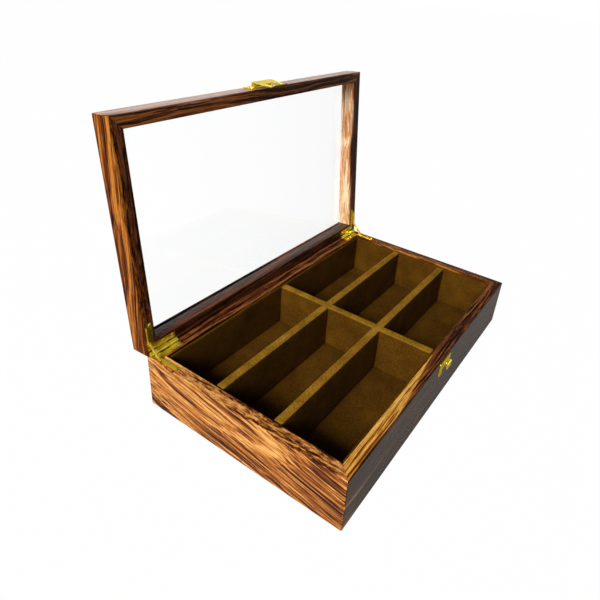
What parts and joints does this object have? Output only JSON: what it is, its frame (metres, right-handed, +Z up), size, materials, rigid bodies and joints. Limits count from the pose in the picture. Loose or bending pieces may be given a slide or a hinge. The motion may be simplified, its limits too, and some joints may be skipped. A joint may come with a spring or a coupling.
{
  "type": "multi glasses organizer",
  "caption": "Partitioned wooden box for eyewear with cloth-covered dividers, a framed glass lid on stay hinges and a front latch.",
  "frame": {"origin": "centre of the underside of the box", "axes": "+Z up, +X along the long side to the right, -Y towards the front, where the latch is; the lid stands open at the back"},
  "size_m": [0.34, 0.2421, 0.2599],
  "materials": {
    "rosewood_walls": "streaked rosewood, glossy varnish",
    "rosewood_lid": "dark streaked rosewood, glossy varnish",
    "bottom_board": "plain stained board",
    "lining": "olive brown suede cloth over board",
    "brass": "polished yellow brass plate",
    "glass": "clear float glass"
  },
  "bodies": {
    "base": {"base_front_wall": "rosewood_walls", "base_back_wall": "rosewood_walls", "base_left_wall": "rosewood_walls", "base_right_wall": "rosewood_walls", "base_bottom_panel": "bottom_board", "liner_front": "lining", "liner_back": "lining", "liner_left": "lining", "liner_right": "lining", "divider_long_front": "lining", "divider_long_rear": "lining", "divider_cross": "lining", "floor_pad_1": "lining", "floor_pad_2": "lining", "floor_pad_3": "lining", "floor_pad_4": "lining", "floor_pad_5": "lining", "floor_pad_6": "lining", "left_hinge_base_leaf": "brass", "left_hinge_pin": "brass", "left_hinge_base_screw_1": "brass", "left_hinge_base_screw_2": "brass", "left_hinge_base_screw_3": "brass", "right_hinge_base_leaf": "brass", "right_hinge_pin": "brass", "right_hinge_base_screw_1": "brass", "right_hinge_base_screw_2": "brass", "right_hinge_base_screw_3": "brass", "catch_plate": "brass", "catch_screw_left": "brass", "catch_screw_right": "brass"},
    "lid": {"lid_front_rail": "rosewood_lid", "lid_back_rail": "rosewood_lid", "lid_left_rail": "rosewood_lid", "lid_right_rail": "rosewood_lid", "lid_glass": "glass", "left_hinge_lid_leaf": "brass", "left_stay_rivet": "brass", "left_hinge_lid_screw_1": "brass", "left_hinge_lid_screw_2": "brass", "left_hinge_lid_screw_3": "brass", "right_hinge_lid_leaf": "brass", "right_stay_rivet": "brass", "right_hinge_lid_screw_1": "brass", "right_hinge_lid_screw_2": "brass", "right_hinge_lid_screw_3": "brass", "latch_plate": "brass", "latch_pin": "brass", "latch_screw_left": "brass", "latch_screw_right": "brass"},
    "left_stay": {"left_stay": "brass", "left_stay_slider_pin": "brass"},
    "right_stay": {"right_stay": "brass", "right_stay_slider_pin": "brass"},
    "latch_lever": {"latch_lever": "brass"}
  },
  "joints": [
    {"name": "lid_hinge", "type": "hinge", "parent": "base", "child": "lid", "pos_m": [0, 0.101, 0.0523], "axis": [1, 0, 0], "range_deg": [0, 94.5]},
    {"name": "left_stay_pivot", "type": "hinge", "parent": "lid", "child": "left_stay", "pos_m": [-0.1665, 0.10194, 0.06426], "axis": [1, 0, 0], "range_deg": [-140, 0]},
    {"name": "right_stay_pivot", "type": "hinge", "parent": "lid", "child": "right_stay", "pos_m": [0.1665, 0.10194, 0.06426], "axis": [1, 0, 0], "range_deg": [-140, 0]},
    {"name": "latch_lever_hinge", "type": "hinge", "parent": "lid", "child": "latch_lever", "pos_m": [0, 0.12437, 0.2562], "axis": [-1, 0, 0], "range_deg": [0, 120]}
  ],
  "couplings": [
    {"joint": "left_stay_pivot", "follows": "lid_hinge", "ratio": -1.4767},
    {"joint": "right_stay_pivot", "follows": "lid_hinge", "ratio": -1.4767}
  ]
}
